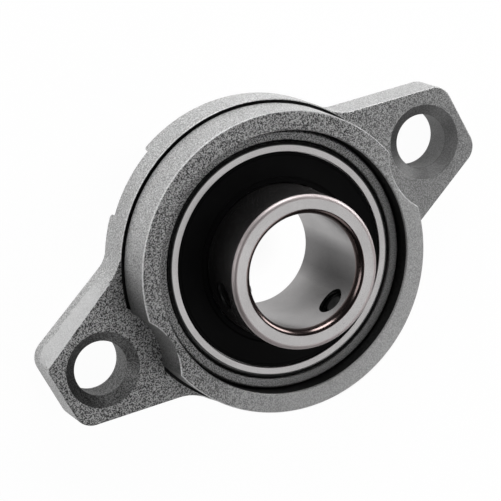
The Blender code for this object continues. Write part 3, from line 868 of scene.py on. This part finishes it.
def build_floor():
    """Paper that glows round the part, with painted shadow and no glow under the bore, which the bore
    mirrors.
    The camera sees it almost evenly white, and sees through it from beneath."""
    bm = bmesh.new()
    bmesh.ops.create_circle(bm, cap_ends=True, segments=96, radius=6.0)
    floor = new_object("floor", bm)
    floor.location.z = -0.0002
    nodes = Nodes("floor_paper")
    from_axis = nodes.add("ShaderNodeVectorMath", operation="LENGTH")
    nodes.link(nodes.place, from_axis.inputs[0])
    under_bore = nodes.range(from_axis.outputs["Value"], 0.0, 1.0, BORE_RADIUS * 1.5 * MM)
    tone = nodes.ramp(nodes.noise(300.0), (0.3, 0.80), (0.7, 0.82))
    # Painted shadow: the paper darkens under the bore.
    tone = nodes.mix(1.0, tone, nodes.ramp(under_bore, (0.15, 0.03), (0.5, 1.0)), "MULTIPLY")
    nodes.finish(tone, nodes.range(nodes.noise(50.0), 0.7, 0.75), 0.0)
    nodes.shader.inputs["Specular IOR Level"].default_value = 0.0
    glow_ring = nodes.ramp(under_bore, (0.15, 0.02), (0.45, 0.8), (0.7, 0.8), (0.9, FLOOR_GLOW))
    nodes.link(glow_ring, nodes.shader.inputs["Emission Color"])
    nodes.shader.inputs["Emission Strength"].default_value = 1.0
    glow = nodes.add("ShaderNodeEmission")
    glow.inputs["Strength"].default_value = FLOOR_SEEN
    seen = nodes.mix_shaders(FLOOR_SHADOW, glow.outputs[0], nodes.shader.outputs[0])
    camera_ray = nodes.add("ShaderNodeLightPath").outputs["Is Camera Ray"]
    above = nodes.mix_shaders(camera_ray, nodes.shader.outputs[0], seen)
    below = nodes.add("ShaderNodeBsdfTransparent").outputs[0]
    backfacing = nodes.add("ShaderNodeNewGeometry").outputs["Backfacing"]
    surface = nodes.mix_shaders(backfacing, above, below)
    nodes.link(surface, nodes.tree.nodes["Material Output"].inputs["Surface"])
    floor.data.materials.append(nodes.material)


def build_lights():
    """Square soft boxes round the part; brightness is the radiance of a box's face."""
    for name, (azimuth, elevation, brightness) in LIGHTS.items():
        lamp = bpy.data.lights.new(name, "AREA")
        lamp.shape = "SQUARE"
        lamp.size = LIGHT_SIZE
        lamp.energy = brightness * math.pi * LIGHT_SIZE**2
        light = bpy.data.objects.new(name, lamp)
        bpy.context.scene.collection.objects.link(light)
        around_part = Matrix.Rotation(math.radians(azimuth), 4, "Z")
        above_part = Matrix.Rotation(math.radians(90 - elevation), 4, "Y")
        light.matrix_world = around_part @ above_part @ Matrix.Translation((0, 0, LIGHT_DISTANCE))


def build_world():
    """Dim grey all round for lighting, pale where the camera sees it."""
    world = bpy.data.worlds.new("studio")
    world.use_nodes = True
    tree = world.node_tree
    background = tree.nodes["Background"]
    background.inputs["Strength"].default_value = 0.02
    seen = tree.nodes.new("ShaderNodeBackground")
    seen.inputs["Color"].default_value = (0.97, 0.97, 0.97, 1)
    seen.inputs["Strength"].default_value = 1.0
    background.inputs["Color"].default_value = (1, 1, 1, 1)
    mixer = tree.nodes.new("ShaderNodeMixShader")
    tree.links.new(tree.nodes.new("ShaderNodeLightPath").outputs["Is Camera Ray"], mixer.inputs[0])
    tree.links.new(background.outputs[0], mixer.inputs[1])
    tree.links.new(seen.outputs[0], mixer.inputs[2])
    tree.links.new(mixer.outputs[0], tree.nodes["World Output"].inputs["Surface"])
    bpy.context.scene.world = world


def build_camera():
    data = bpy.data.cameras.new("camera")
    data.lens = CAMERA_LENS
    data.sensor_width = 36.0
    data.clip_start = 0.01
    data.clip_end = 20.0
    camera = bpy.data.objects.new("camera", data)
    bpy.context.scene.collection.objects.link(camera)
    position = Vector(CAMERA_PLACE)
    level = (Vector(CAMERA_AIM) - position).to_track_quat("-Z", "Y").to_matrix().to_4x4()
    roll = Matrix.Rotation(math.radians(CAMERA_ROLL), 4, "Z")
    camera.matrix_world = Matrix.Translation(position) @ level @ roll
    bpy.context.scene.camera = camera


# ---------------------------------------------------------------- all together


def build_casting():
    boss_face = cast_material("boss_face", 0.02, 0.54, 0.52, 0.08)
    wall = cast_material("flange_wall", 0.30, 0.80, 0.52, 0.03)
    # Painted shade: near black in the seat and the groove, where shade falls.
    seat = dark_material("seat_painted_shade", 0.008, 0.025, 0.5, 0.3)
    # Painted shade on the countersinks: each is darker on its -X side.
    slope = ((-40, 0.19), (-31, 0.62), (31, 0.28), (40, 0.7))
    countersink = cast_material("countersink_machined_painted_shade", 0.15, 0.60, 0.35, 0.03, painted_shade_stops=slope)
    flank = cast_material("ear_flank", 0.30, 0.80, 0.52, 0.03, trimmed=True)
    # Painted shade on the boss walls and scallops beside the ears.
    painted_shade_beside_ears = ((-26, 0.3), (-24.5, 0.6), (-19, 1.0), (19, 1.0), (24.5, 0.6), (26, 0.3))
    boss_wall_painted_shade = cast_material("boss_wall_painted_shade", 0.27, 0.78, 0.50, 0.03, painted_shade_stops=painted_shade_beside_ears)
    # Painted highlight on the rounded edges of the boss and rim, fading toward +X.
    painted_edge_highlight = cast_material("edge_painted_highlight", 0.60, 1.0, 0.80, 0.03, 0.3, painted_shade_stops=((-10, 1.0), (20, 0.4)))
    hole_wall = cast_material("bolt_hole_wall", 0.09, 0.50, 0.28, 0.03)
    flange_face = cast_material("flange_face", 0.02, 0.60, 0.30, 0.08)
    build_housing(boss_face, wall, seat, countersink, flank, boss_wall_painted_shade, painted_edge_highlight, hole_wall, flange_face)


def build_insert():
    carrier = cast_material("carrier_cast", 0.01, 0.48, 0.22, 0.05)
    ring_steel = steel_material("ring_steel", (0.40, 0.39, 0.39), 0.28, turned_about_z=True)
    black = dark_material("black_oxide", 0.004, 0.015, 0.4, 0.4)
    rubber = rubber_material()
    build_carrier(carrier)
    # The outer ring's corners are dark steel: painted shade in the gap round the ring.
    build_outer_ring(ring_steel, steel_material("ring_corner", (0.13, 0.13, 0.13), 0.25))
    build_seal("front_seal", False, rubber)
    build_seal("back_seal", True, rubber)
    outside = steel_material("ground_outside", (0.50, 0.48, 0.48), 0.25)
    mouth = steel_material("bore_mouth", (0.16, 0.125, 0.12), 0.2)
    # The bore's painted dark reflection stands at 324 degrees.
    bore = steel_material("bore_ground", (0.40, 0.39, 0.39), 0.28, turned_about_z=True, painted_reflection_at=324)
    # Painted highlight: the inner ring's rounded outer corners are lighter steel.
    bright_corner = steel_material("ring_corner_painted_highlight", (0.52, 0.47, 0.47), 0.5)
    build_inner_ring(ring_steel, black, outside, mouth, bore, bright_corner)
    build_set_screws(black)
    build_balls(steel_material("ball_polish", (0.8, 0.8, 0.82), 0.1, 0.0005))


def finish_hidden_pieces(nodes):
    """The cage, its rivets and the seals' washers keep their CAD shape, as pressed sheet steel."""
    sheet = steel_material("sheet_steel_look", (0.55, 0.54, 0.52), 0.38)
    for node in nodes.values():
        if not node.hide_render:
            node.data.materials.clear()
            node.data.materials.append(sheet)


def main():
    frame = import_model()
    build_casting()
    build_insert()
    finish_hidden_pieces(frame["nodes"])
    build_floor()
    build_lights()
    build_world()
    build_camera()
    bpy.context.scene.view_settings.view_transform = "Standard"


main()
